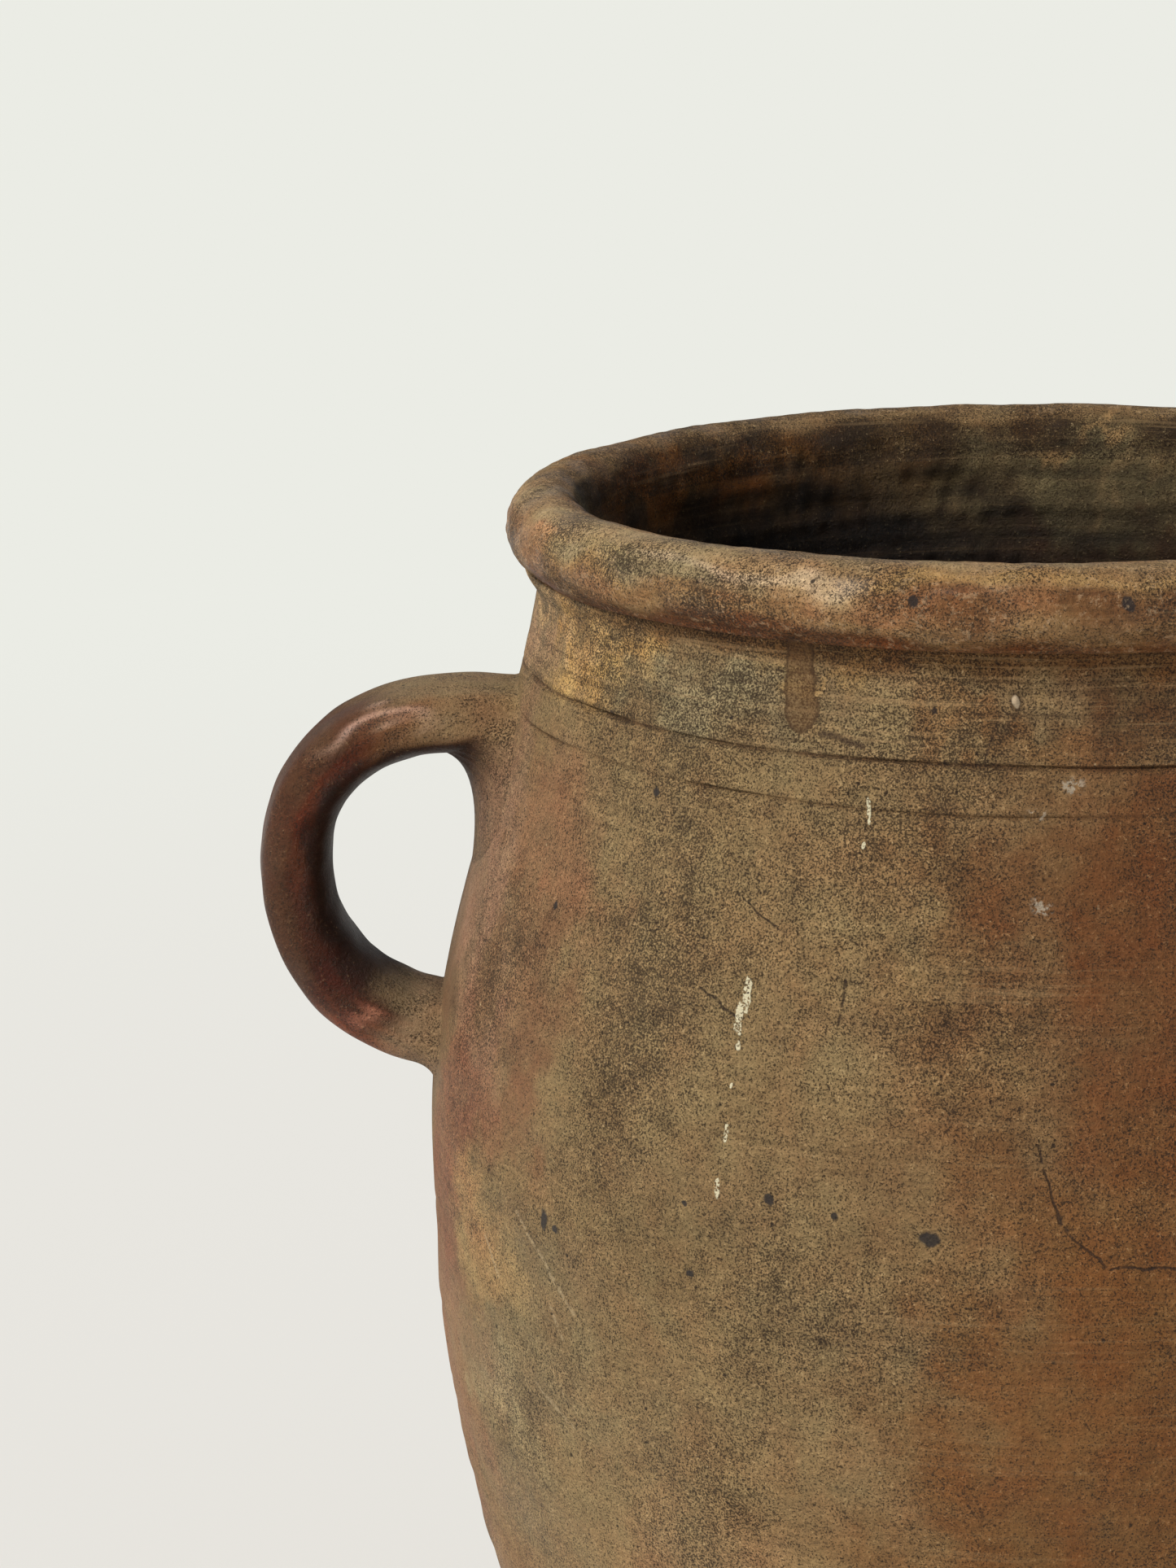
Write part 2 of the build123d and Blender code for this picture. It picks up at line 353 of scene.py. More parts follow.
class Recipe:
    """The nodes of a clay, of the studio's paper or of the light in the room."""

    def __init__(self, owner):
        owner.use_nodes = True
        self.owner, self.tree = owner, owner.node_tree
        self.tree.nodes.clear()

    def node(self, kind, settings=None, inputs=None, output=0):
        """Adds a node: its settings first, then the values or links of its sockets."""
        made = self.tree.nodes.new(kind)
        for setting, value in (settings or {}).items():
            setattr(made, setting, value)
        for socket, value in (inputs or {}).items():
            if isinstance(value, Wire):
                self.tree.links.new(value.socket, made.inputs[socket])
            else:
                made.inputs[socket].default_value = value
        return Wire(self, made.outputs[output]) if made.outputs else None

    def vector(self, operation, *inputs):
        """A Vector Math node. A length, a distance and a dot product are plain numbers."""
        number = operation in ("LENGTH", "DISTANCE", "DOT_PRODUCT")
        return self.node(
            "ShaderNodeVectorMath", {"operation": operation}, dict(enumerate(inputs)),
            "Value" if number else "Vector",
        )

    def mix(self, factor, under, over):
        """Lays a tone over a colour by a factor."""
        return self.node(
            "ShaderNodeMix", {"data_type": "RGBA"},
            {0: factor, 6: under, 7: (*over.tolist(), 1)}, 2,
        )

    def noise(self, where, scale, detail=2, roughness=0.5):
        return self.node(
            "ShaderNodeTexNoise", None,
            {"Vector": where, "Scale": scale, "Detail": detail, "Roughness": roughness},
        )

    def split(self, where, kind="ShaderNodeSeparateXYZ"):
        """The three numbers of a place, or of a colour where kind says so."""
        first = self.node(kind, None, {0: where})
        return [first.other(number) for number in range(3)]

    def joined(self, x, y, z):
        return self.node("ShaderNodeCombineXYZ", None, {0: x, 1: y, 2: z})


def dots(clay, where, scale, size, share, ragged):
    """Specks: a Voronoi pattern's points, kept where the cell's chance is high.

    size is the largest speck's half width as a share of a cell. ragged roughens edges.
    """
    near = clay.node("ShaderNodeTexVoronoi", None, {"Vector": where, "Scale": scale})
    chance = clay.split(near.other("Color"), "ShaderNodeSeparateColor")[0]
    reach = (chance - (1 - share)) * (size / share)
    return (reach - near + size * (ragged - 0.5)).step(-0.04, 0.08)


def fired_clay(name, marks=None):
    """The jar's clay: kiln colours with painted light, grain, dark pepper, pits and fine wheel
    marks.

    The colours and the amounts of pepper, gloss and wheel marking come per vertex. Grain
    and specks are solid patterns in metres. marks adds a piece's own marks: it is given
    the clay, the colour, the height of the relief, the roughness and the place.
    """
    clay = Recipe(bpy.data.materials.new(name))
    place = clay.node("ShaderNodeTexCoord", output="Object")
    colour, amounts = (
        clay.node("ShaderNodeAttribute", {"attribute_name": coat}, output="Color")
        for coat in ("kiln_colour", "kiln_marks")
    )
    pepper, gloss, wheel = clay.split(amounts, "ShaderNodeSeparateColor")

    # Light and dark grain, most where there is much pepper, and patches of warmer hue
    mottle = clay.noise(place, 130, 4, 0.66)
    grain = clay.noise(place, 900, 4, 0.8)
    uneven = 0.3 * clay.noise(place, 45, 3, 0.6) + 0.8 * mottle + 2.5 * grain - 1.8
    light = 1.51 + uneven * (0.6 + pepper)
    warm = clay.noise(place, 85, 3, 0.62)
    hue, saturation = 0.52 - 0.04 * warm, 0.94 + 0.18 * warm
    colour = clay.node(
        "ShaderNodeHueSaturation", None,
        {"Hue": hue, "Saturation": saturation, "Value": light, "Color": colour},
    )

    # Pale grit, partly a painted highlight on raised grain, clumps and dust of soot, dark
    # specks of three sizes and a few bright ones
    fuzz = clay.noise(place, 2300, 2, 0.7)
    soot = clay.noise(place, 160, 4, 0.7)
    dusting = (fuzz + 0.2 * soot + 0.16 * pepper).step(0.69, 0.8)
    fine = dots(clay, place, 930, 0.36, 0.5, fuzz)
    coarse = dots(clay, place, 300, 0.16, 0.16, fuzz)
    spots = dots(clay, place, 62, 0.075, 0.04, fuzz)
    bright = dots(clay, place, 310, 0.11, 0.03, fuzz)
    pale = grain.step(0.56, 0.72) * fuzz.step(0.54, 0.44)
    colour = clay.mix(pale * (0.9 * pepper), colour, tone(206, 180, 134))
    clumps = soot.step(0.54, 0.66) * grain.step(0.44, 0.6)
    colour = clay.mix(clumps * (0.6 * pepper), colour, tone(56, 41, 26))
    colour = clay.mix(dusting * 0.88, colour, tone(46, 32, 18))
    colour = clay.mix(fine * (0.25 + 0.6 * pepper), colour, tone(42, 27, 14))
    colour = clay.mix(coarse * 0.9, colour, tone(36, 25, 17))
    colour = clay.mix(spots * 0.9, colour, tone(40, 32, 28))
    colour = clay.mix(bright * (1.2 * pepper), colour, tone(214, 190, 148))

    # Wheel marks: a noise drawn out into fine lines round the jar
    x, y, z = clay.split(place)
    around = x.math("ARCTAN2", y * -1)
    lines = clay.noise(clay.joined(around * 2, z * 640, 0), 1, 5, 0.75)
    colour = clay.mix((lines.step(0.5, 0.68) * wheel) * 0.55, colour, tone(60, 41, 24))
    colour = clay.mix((lines.step(0.48, 0.34) * wheel) * 0.4, colour, tone(182, 148, 104))
    relief = 0.0012 * grain + 0.0008 * mottle - 0.0004 * (lines * wheel) - 0.00015 * fine
    rough = 0.8 - 0.42 * gloss - 0.12 * grain
    if marks:
        colour, relief, rough = marks(clay, colour, relief, rough, place)
    bent = clay.node("ShaderNodeBump", None, {"Strength": 1, "Distance": 1, "Height": relief})
    surface = clay.node(
        "ShaderNodeBsdfPrincipled", None,
        {
            "Base Color": colour, "Roughness": rough, "Normal": bent,
            "Specular IOR Level": 0.24, "Coat Roughness": 0.34,
            "Coat Weight": gloss.math("SUBTRACT", 0.45, clamp=True) * 0.36,
        },
    )
    clay.node("ShaderNodeOutputMaterial", None, {"Surface": surface})
    return clay.owner


def placed(name, data):
    """Object of a mesh, a lamp or a camera, put into the scene."""
    thing = bpy.data.objects.new(name, data)
    bpy.context.scene.collection.objects.link(thing)
    return thing


def finished(name, points, faces, coats):
    """Object of points and faces, smooth but for sharp edges, with its coats per vertex."""
    mesh = bpy.data.meshes.new(name)
    mesh.from_pydata(points, [], faces)
    for coat, values in coats.items():
        rgba = np.ones((len(points), 4), np.float32)
        rgba[:, :3] = values.reshape(-1, 3)
        layer = mesh.attributes.new(coat, "FLOAT_COLOR", "POINT")
        layer.data.foreach_set("color", rgba.ravel())
    mesh.shade_smooth()
    mesh.set_sharp_from_angle(angle=math.radians(40))
    return placed(name, mesh)


def closed_ring(name, radius, height, section, paint):
    """Closed solid of revolution with an uneven surface.

    Row i, column j of the arrays is the point at azimuth j of the section's point i. The
    section runs anticlockwise as seen with +Z up and the axis at the left, so the faces
    look outwards. What section says of each place is handed on to paint.
    """
    rows, columns = radius.shape
    azimuth = np.arange(columns) * 360 / columns
    turn = np.radians(azimuth)
    points = np.stack([radius * np.cos(turn), radius * np.sin(turn), height], -1)
    number = np.arange(rows * columns).reshape(rows, columns)
    above, beside = np.roll(number, -1, 0), np.roll(number, -1, 1)
    quads = np.stack([number, beside, np.roll(above, -1, 1), above], -1)
    coats = paint(azimuth[None, :] + 0 * radius, height, section)
    return finished(name, points.reshape(-1, 3), quads.reshape(-1, 4).tolist(), coats)


def settled(piece, material, *nodes):
    """Gives a finished piece its clay, attaches it to the root body, and hides the solids it
    stands for.
    """
    piece.data.materials.append(material)
    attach(piece, "root")
    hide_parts(*nodes)


def disc_piece(name, columns):
    """The floor: up the rounded edge, in over the top, and back under the bottom.

    The top and the bottom close on rings of almost no radius at the axis. The top dips
    by the rings that the fingers left, a sine of the radius that winds in as a spiral.
    """
    axis_ring = 0.02 * MM
    edge_rows, side_rows, top_rows, bottom_rows = 9, 6, 44, 24
    turn = np.linspace(-math.pi / 2, 0, edge_rows)
    edge_r = FOOT_RADIUS - FOOT_EDGE_ROUND + FOOT_EDGE_ROUND * np.cos(turn)
    edge_z = FOOT_EDGE_ROUND * (1 + np.sin(turn))
    side_z = np.linspace(FOOT_EDGE_ROUND, FLOOR_TOP, side_rows)[1:]
    side_r = arc_below(side_z, BELLY_RADIUS, FOOT_ARC_RADIUS) - 0.4 * MM
    top_r = np.linspace(side_r[-1], axis_ring, top_rows)[1:]
    bottom_r = np.linspace(axis_ring, edge_r[0], bottom_rows)[:-1]
    radius = np.concatenate([edge_r, side_r, top_r, bottom_r])[:, None]
    height = np.concatenate([edge_z, side_z, 0 * top_r + FLOOR_TOP, 0 * bottom_r])[:, None]
    lengths = [len(edge_r) + len(side_r), len(top_r), len(bottom_r)]
    inside = np.repeat([0.0, 1.0, 0.0], lengths)[:, None]
    azimuth = np.arange(columns)[None, :] * 360 / columns
    spiral = np.sin(2 * math.pi * radius / (11 * MM) + np.radians(azimuth))
    calm = smooth(radius / 0.02) * smooth((0.078 - radius) / 0.004)
    dipped = 0.3 * MM * (spiral - 1) * inside * calm
    return closed_ring(name, radius + 0 * azimuth, height + dipped, inside, wall_paint)


settled(disc_piece("floor_disc_clay", 240), fired_clay("fired_clay_wall"), "floor_disc")


# Lower wall
# The first thrown section, from the floor to the belly. It was left to stiffen before the
# next was set on its bevelled edge, and the seam was thumbed over on the outside.

BELLY_SEAM = 210 * MM
SEAM_RISE = math.tan(math.radians(30))
INSIDE_BELLY_RADIUS = 135.9 * MM
INSIDE_ARC_RADIUS = 440.6 * MM
COVE_TOP = FLOOR_TOP + 12 * MM
belly_seam_inside = BELLY_SEAM + (BELLY_RADIUS - INSIDE_BELLY_RADIUS) * SEAM_RISE

# Height, radius and slope of the wall above the belly, in millimetres
SHOULDER_OUTSIDE = np.array([
    (226, 146.4, 0),
    (268, 141.66, -0.2167),
    (310, 130.2, -0.2866),
    (365.6, 116.3, -0.2126),
])
SHOULDER_INSIDE = np.array([
    (226, 135.9, 0),
    (280, 130.8, -0.225),
    (310, 120.6, -0.48),
    (330, 110.6, -0.4),
    (345, 106.3, -0.17),
    (355.3, 105.5, 0),
    (400, 105.5, 0),
])
COLLAR_SEAM = FIRST_LINE_MM * MM
COLLAR_SEAM_INSIDE_MM = 352.4


def cubic(start, end, start_slope, end_slope, t):
    """The cubic from start to end, as t goes from 0 to 1, with those slopes at both."""
    return (
        start * (2 * t**3 - 3 * t**2 + 1)
        + end * (3 * t**2 - 2 * t**3)
        + start_slope * (t**3 - 2 * t**2 + t)
        + end_slope * (t**3 - t**2)
    )


def curve_through(height, knots):
    """Radius at a height: cubic pieces that meet the knots with the slopes given."""
    z, r, slope = knots.T
    z, r = z * MM, r * MM
    knot = np.clip(np.searchsorted(z, height) - 1, 0, len(z) - 2)
    span = z[knot + 1] - z[knot]
    t = np.clip((height - z[knot]) / span, 0, 1)
    return cubic(r[knot], r[knot + 1], span * slope[knot], span * slope[knot + 1], t)


def groove(mm, middle, half_width):
    """1 on a scored line, falling straight to 0 at its edges."""
    return np.clip(1 - np.abs(mm - middle) / half_width, 0, 1)


def spot_at(azimuth, mm, degrees, middle, half_degrees, half_mm):
    """1 in the middle of a spot on the wall, falling to 0 as a bell outside it."""
    return bell(turned_from(azimuth, degrees), 0, half_degrees) * bell(mm, middle, half_mm)


def outer_radius(azimuth, height):
    """The outside of the wall: its outline, less what throwing and handling took off.

    The relief is out-of-roundness, the spiral rise and fall left by the fingers, dents,
    the thumbed seam at the belly and the two scored lines. From 205 mm up it only goes
    inwards. Lower down the wall may also swell a little, most of all under the left
    handle. A cove then flares out under the rim.
    """
    radius = np.where(
        height < BELLY_HEIGHT,
        arc_below(height, BELLY_RADIUS, FOOT_ARC_RADIUS),
        curve_through(height, SHOULDER_OUTSIDE),
    )
    turn = np.radians(azimuth)
    mm = height / MM
    level = 0 * height
    taken = level + 0.35 - 0.3 * np.cos(2 * turn - 0.2) + 0.14 * np.cos(3 * turn + 0.7)
    taken += 0.14 * np.sin(2 * math.pi * mm / 21 + turn)
    taken += 0.06 * np.sin(2 * math.pi * mm / 8.3 + 2 * turn)
    taken += 0.13 * waves(azimuth, height, 0.022, 3)
    taken += 0.07 * waves(azimuth, height, 0.009, 4, stretch=1.6)
    taken += 0.04 * waves(azimuth, height, 0.0045, 5)
    taken -= 1.1 * spot_at(azimuth, mm, 190, 176, 40, 42)
    seam = bell(mm, 211, 3.5) * (0.35 + 0.3 * waves(azimuth, level, 0.05, 6))
    taken += np.clip(seam, 0, 1) + 0.5 * spot_at(azimuth, mm, 184, 211, 10, 4)
    depth = np.clip(0.62 + 0.16 * waves(azimuth, level, 0.02, 7), 0.3, 1)
    taken += depth * groove(mm, FIRST_LINE_MM, 0.62) ** 0.8
    lip = bell(mm, FIRST_LINE_MM + 1.4, 0.8) + 0.6 * bell(mm, FIRST_LINE_MM - 1.2, 0.7)
    taken -= 0.16 * lip * smooth(0.6 + waves(azimuth, level, 0.018, 8))
    depth = np.clip(0.34 + 0.2 * waves(azimuth, level, 0.03, 9), 0.05, 0.7)
    taken += depth * groove(mm, SECOND_LINE_MM, 0.5)
    taken = np.clip(taken, -1.1 * smooth((205 - mm) / 20), None)
    left = bell(azimuth, 184, 22)
    cove = (1.7 + 2.6 * left) * smooth((mm - 360.6 + 1.6 * left) / (5 + 1.6 * left))
    return radius + MM * (cove - taken)


def inner_radius(azimuth, height):
    """The inside of the wall: its outline with the finger rings of throwing left on it.

    The corner over the floor is filled in with a slope that is slightly hollow.
    """
    radius = np.where(
        height < BELLY_HEIGHT,
        arc_below(height, INSIDE_BELLY_RADIUS, INSIDE_ARC_RADIUS),
        curve_through(height, SHOULDER_INSIDE),
    )
    turn = np.radians(azimuth)
    mm = height / MM
    rings = 0.5 * np.sin(2 * math.pi * mm / 13 + turn + 0.5 * np.sin(mm / 31))
    rings = rings + 0.28 * np.sin(2 * math.pi * mm / 5.7 + 3 * turn)
    rough = 0.3 * waves(azimuth, height, 0.01, 12, stretch=2)
    rough += 0.2 * waves(azimuth, height, 0.005, 13)
    calm = 1 - smooth((FLOOR_TOP + 0.03 - height) / 0.02)
    calm = calm * (1 - 0.9 * bell(mm, COLLAR_SEAM_INSIDE_MM, 3))
    near_mouth = smooth((mm - 352) / 14)
    corner_height = COVE_TOP - FLOOR_TOP
    corner = np.clip(COVE_TOP - height, 0, None)
    corner = corner * (1 - 0.35 * smooth((height - FLOOR_TOP) / corner_height))
    return radius + MM * calm * (rings * (1 - 0.6 * near_mouth) + rough) - corner


def heights(low, high, step, fine=()):
    """Heights from low to high, closer together where fine says (middle, reach, step)."""
    count = max(2, round((high - low) / step) + 1)
    rows = np.linspace(low, high, count)
    for middle, reach, close in fine:
        rows = rows[np.abs(rows - middle) > reach]
        more = middle + np.arange(-reach, reach + close / 2, close)
        rows = np.sort(np.concatenate([rows, more[(more >= low) & (more <= high)]]))
    return rows[np.concatenate([[True], np.diff(rows) > 1e-5])]


def wall_piece(name, columns, outside_rows, inside_rows):
    """One thrown piece: its outside going up, and its inside coming down."""
    azimuth = np.arange(columns)[None, :] * 360 / columns
    up = outside_rows[:, None] + 0 * azimuth
    down = inside_rows[::-1, None] + 0 * azimuth
    radius = np.concatenate([outer_radius(azimuth, up), inner_radius(azimuth, down)])
    height = np.concatenate([up + stray(azimuth, up), down])
    inside = np.repeat([0.0, 1.0], [len(up), len(down)])[:, None]
    return closed_ring(name, radius, height, inside, wall_paint)


UNROLLED_RADIUS_MM = 140


def wall_plane(clay, place):
    """The wall unrolled: millimetres round from the front, and millimetres up."""
    x, y, z = clay.split(place)
    around = x.math("ARCTAN2", y * -1) * UNROLLED_RADIUS_MM
    uneven = clay.noise(place, 190, 2, 0.5)
    uneven_up = clay.noise(place, 230, 2, 0.5)
    return clay.joined(
        around + 2.4 * (uneven - 0.5), z * (1 / MM) + 2.4 * (uneven_up - 0.5), 0
    )


def on_wall(degrees, mm):
    """A mark's place on the unrolled wall, from its azimuth and its height."""
    return (math.radians(degrees - 270) * UNROLLED_RADIUS_MM, mm, 0)


def from_line(clay, plane, start, end):
    """Distance in millimetres from a straight stretch between two places on the wall."""
    start, end = Vector(on_wall(*start)), Vector(on_wall(*end))
    stretch = end - start
    away = clay.vector("SUBTRACT", plane, start)
    along = clay.vector("DOT_PRODUCT", away, stretch)
    along = along.math("MULTIPLY", 1 / stretch.length_squared, clamp=True)
    foot = clay.node(
        "ShaderNodeVectorMath", {"operation": "SCALE"}, {0: stretch, "Scale": along}
    )
    return clay.vector("DISTANCE", away, foot)


def nearest(distances):
    """The least of several distances, at each place."""
    return reduce(lambda near, far: near.math("MINIMUM", far), distances)


def nearest_line(clay, plane, lines):
    """Distance in millimetres from the nearest of several straight stretches."""
    return nearest(from_line(clay, plane, *line) for line in lines)


# Pale scratches, from place to place on the wall: azimuth and height in millimetres
SCRATCHES = [
    ((211.6, 233.0), (215.0, 226.0)), ((215.0, 226.0), (219.9, 215.6)),
    ((216.6, 215.0), (218.2, 208.0)), ((213.9, 193.5), (219.1, 187.2)),
    ((205.6, 222.0), (207.8, 214.5)),
]


def scratched(clay, plane, colour, grit):
    """The pale scratches, broken up by grit."""
    far = nearest_line(clay, plane, SCRATCHES)
    scratch = (far + 0.8 * (grit - 0.5)).step(0.8, 0.25) * grit.step(0.38, 0.52)
    return clay.mix(scratch * 0.5, colour, tone(196, 172, 132))


def lower_marks(clay, colour, relief, rough, place):
    """Scratches on the lower wall."""
    grit = clay.noise(place, 800, 2, 0.6)
    return scratched(clay, wall_plane(clay, place), colour, grit), relief, rough


lower_wall = wall_piece(
    "lower_wall_clay", 480,
    heights(FLOOR_TOP, BELLY_SEAM, 1.7 * MM),
    np.concatenate([
        heights(FLOOR_TOP, COVE_TOP, 1.5 * MM)[:-1],
        heights(COVE_TOP, belly_seam_inside, 2.6 * MM),
    ]),
)
settled(lower_wall, fired_clay("fired_clay_lower", lower_marks), "lower_wall")


# Upper wall
# The second thrown section, from the belly over the shoulder to the upper scored line. Its
# front carries what the jar has been through: hairline cracks, flakes of lime, scuffs.

# Hairline cracks, from place to place on the wall: azimuth and height in millimetres
CRACKS = [
    ((263.2, 269.4), (265.2, 253.0)), ((265.2, 253.0), (269.2, 244.3)),
    ((269.2, 244.3), (274.4, 244.1)), ((246.0, 299.7), (245.5, 290.0)),
    ((234.0, 313.5), (239.6, 307.3)), ((231.6, 293.6), (235.9, 288.6)),
]
# Spots: azimuth, height, and half widths across and up, in millimetres
FLAKES = [
    (236.5, 293.4, 1.1, 3.4), (236.0, 289.0, 1.0, 3.4), (236.1, 283.2, 0.6, 1.1),
    (236.1, 275.2, 0.4, 0.6), (235.9, 265.5, 0.5, 2.0), (235.7, 253.7, 0.75, 2.2),
    (246.8, 333.7, 0.6, 2.6), (246.6, 326.6, 0.6, 0.7),
]
IRON_SPOTS = [
    (222.3, 331.1, 1.1, 1.1), (210.3, 301.2, 1.0, 1.1), (215.9, 234.3, 1.2, 2.6),
    (217.5, 233.2, 0.9, 1.0), (240.7, 253.3, 1.2, 1.2), (246.6, 251.8, 0.8, 0.8),
    (254.6, 249.2, 2.2, 1.8), (232.4, 249.1, 0.7, 0.7), (233.4, 234.0, 0.7, 0.7),
]
SCUFFS = [(266.4, 339.9, 3.4, 1.8), (262.8, 334.4, 3.2, 1.3), (263.4, 316.3, 2.6, 1.8)]


def from_spot(clay, plane, degrees, mm, across, up):
    """Distance from the middle of an upright oval, 1 on its edge."""
    x, y, _ = on_wall(degrees, mm)
    scaled = clay.vector(
        "MULTIPLY_ADD", plane, (1 / across, 1 / up, 0), (-x / across, -y / up, 0)
    )
    return clay.vector("LENGTH", scaled)


def nearest_spot(clay, plane, spots):
    """Distance from the nearest of several upright ovals, 1 on its edge."""
    return nearest(from_spot(clay, plane, *spot) for spot in spots)


def shoulder_marks(clay, colour, relief, rough, place):
    """What the shoulder has been through, each at its own place on the wall."""
    plane = wall_plane(clay, place)
    grit = clay.noise(place, 800, 2, 0.6)
    patchy = clay.noise(place, 420, 2, 0.6)
    line = (nearest_line(clay, plane, CRACKS) + 0.5 * (grit - 0.5)).step(0.42, 0.12)
    line = line * patchy.step(0.3, 0.5)
    colour = clay.mix(line * 0.8, colour, tone(44, 30, 22))
    colour = scratched(clay, plane, colour, grit)
    chalk = nearest_spot(clay, plane, SCUFFS).step(1.2, 0.4) * grit.step(0.45, 0.6)
    colour = clay.mix(chalk * 0.65, colour, tone(196, 182, 160))
    spot = (nearest_spot(clay, plane, IRON_SPOTS) + 0.7 * (patchy - 0.5)).step(1.15, 0.7)
    colour = clay.mix(spot * 0.92, colour, tone(46, 40, 38))
    flake = (nearest_spot(clay, plane, FLAKES) + 1.2 * (patchy - 0.5)).step(1.1, 0.9)
    flake = flake * clay.noise(place, 1300, 2, 0.7).step(0.42, 0.5)
    colour = clay.mix(flake * 0.95, colour, tone(232, 220, 184))
    return colour, relief - 0.00035 * line + 0.00025 * flake, rough - 0.18 * spot


collar_seam_inside = COLLAR_SEAM_INSIDE_MM * MM
first_line_rows = (COLLAR_SEAM, 1.8 * MM, 0.3 * MM)
second_line_rows = (SECOND_LINE_MM * MM, 1.2 * MM, 0.3 * MM)
upper_wall = wall_piece(
    "upper_wall_clay", 512,
    heights(BELLY_SEAM, COLLAR_SEAM, 1.25 * MM, [second_line_rows, first_line_rows]),
    heights(
        belly_seam_inside, collar_seam_inside, 2.2 * MM,
        [(collar_seam_inside - 5 * MM, 5 * MM, 1.2 * MM)],
    ),
)
settled(upper_wall, fired_clay("fired_clay_shoulder", shoulder_marks), "upper_wall")


# Neck collar
# A short ring between the upper scored line and the rim, smoothed with a wet rag on the
# turning wheel. Brine ran down it once from under the rim and left a brown tear.

CREASE_HEIGHT = 365.6 * MM
RIM_SEAM_INSIDE = 371.84 * MM
NECK_CRACKS = [((258.9, 351.4), (257.8, 344.1)), ((190.7, 348.5), (195.0, 341.9))]
NECK_SPECKS = [(213.0, 344.6, 0.8, 0.8), (252.6, 354.4, 0.7, 0.7), (230.5, 349.0, 0.5, 0.5)]


def neck_marks(clay, colour, relief, rough, place):
    """The brown tear with its dark rim, its smear, cracks, and a stuck lump of grit ringed by
    painted shadow.
    """
    plane = wall_plane(clay, place)
    uneven = clay.noise(place, 330, 2, 0.5)
    run = from_line(clay, plane, (238.0, 372.0), (238.2, 352.0)) - 3.9
    drop = clay.vector("DISTANCE", plane, on_wall(238.5, 352.4)) - 4.7
    far = run.math("MINIMUM", drop) + 1.9 * (uneven - 0.5)
    tear = far.step(0.3, -0.3)
    edge = far.step(-1.5, -0.2) * tear
    colour = clay.mix(tear * 0.5, colour, tone(104, 70, 38))
    colour = clay.mix(edge * 0.6, colour, tone(54, 34, 18))
    rough = rough - 0.1 * tear
    smear = from_line(clay, plane, (241.0, 348.0), (245.6, 346.2)) + 1.2 * (uneven - 0.5)
    colour = clay.mix(smear.step(1.1, 0.3) * 0.7, colour, tone(60, 42, 30))
    crack = nearest_line(clay, plane, NECK_CRACKS) + 0.5 * (uneven - 0.5)
    colour = clay.mix(crack.step(0.3, 0.08) * 0.6, colour, tone(50, 34, 25))
    speck = nearest_spot(clay, plane, NECK_SPECKS).step(1.3, 0.6)
    colour = clay.mix(speck * 0.85, colour, tone(46, 36, 32))
    lump = clay.vector("DISTANCE", plane, on_wall(260.8, 356.9)) + 1.6 * (uneven - 0.5)
    # A dark ring of painted shadow round the lump
    colour = clay.mix(lump.step(2.6, 1.4) * 0.6, colour, tone(60, 42, 28))
    colour = clay.mix(lump.step(1.4, 1.0) * 0.9, colour, tone(206, 182, 150))
    return colour, relief + 0.0013 * lump.step(1.8, 0.2), rough


neck_collar = wall_piece(
    "neck_collar_clay", 640,
    heights(COLLAR_SEAM, CREASE_HEIGHT, 0.8 * MM, [first_line_rows]),
    heights(collar_seam_inside, RIM_SEAM_INSIDE, 1.2 * MM),
)
settled(neck_collar, fired_clay("fired_clay_neck", neck_marks), "neck_collar")


# Rolled rim
# A coil rolled over the collar's edge and pressed round with wet leather, which left it
# denser and a little glossy. It is rubbed pale on top, with painted shade underneath.

ROLL_RADIUS = 9.75 * MM
ROLL_MIDDLE_RADIUS = 115.25 * MM
ROLL_MIDDLE_HEIGHT = 375.293 * MM
ROLL_ROWS = 60
# The angle round the section that places down in the mouth are painted as
MOUTH_SECTION = 184

# Azimuth, angle round the section, half width in degrees, half angle, tone, strength
RIM_CLOUDS = [
    (90, 90, 75, 60, tone(108, 88, 60), 0.7),
    (205, 70, 34, 40, tone(158, 134, 98), 0.85),
    (240, 84, 40, 22, tone(142, 122, 90), 0.7),
    (195, 12, 18, 34, PINK, 0.7),
    (202, 36, 6, 10, tone(186, 134, 96), 0.6),
    (212, 22, 10, 26, OCHRE, 0.6),
    (222, 28, 12, 26, LICHEN, 0.8),
    (214, 0, 26, 14, FAWN, 0.5),
    (240, 38, 12, 24, tone(166, 134, 98), 0.7),
    # A painted highlight: a pale patch where the light catches the coil at the front left
    (234, 44, 14, 9, tone(204, 178, 148), 0.45),
    (250, 12, 16, 22, tone(138, 92, 60), 0.6),
    (262, 46, 18, 16, OCHRE, 0.4),
    (274, 14, 24, 34, tone(88, 54, 28), 0.85),
    (310, 30, 30, 50, SAND, 0.5),
    (345, 20, 26, 40, BROWN, 0.5),
    (20, 40, 30, 50, PINK, 0.5),
    (65, 20, 30, 40, OLIVE, 0.5),
    (110, 30, 30, 40, BROWN, 0.5),
    (150, 50, 26, 40, SAND, 0.5),
]
RIM_SPOTS = [(251.2, 378.0, 1.2, 1.2), (271.0, 378.0, 1.3, 1.3), (241.0, 380.5, 0.6, 0.6)]


def pressed_in(azimuth, section):
    """How far the coil is pressed in, by azimuth and by angle round its section."""
    turn, roll = np.radians(azimuth), np.radians(section)
    along = roll * ROLL_RADIUS * 2
    pressed = 0.3 + 0.12 * np.sin(2 * turn + 1) + 0.08 * np.sin(5 * turn + roll)
    pressed += 0.12 * waves(azimuth, along, 0.014, 41, stretch=1.6)
    pressed += 0.07 * waves(azimuth, along, 0.005, 42)
    pressed += 0.1 * np.sin(roll * 5 + 1.2 * np.sin(turn))
    return MM * np.clip(pressed, 0, None)


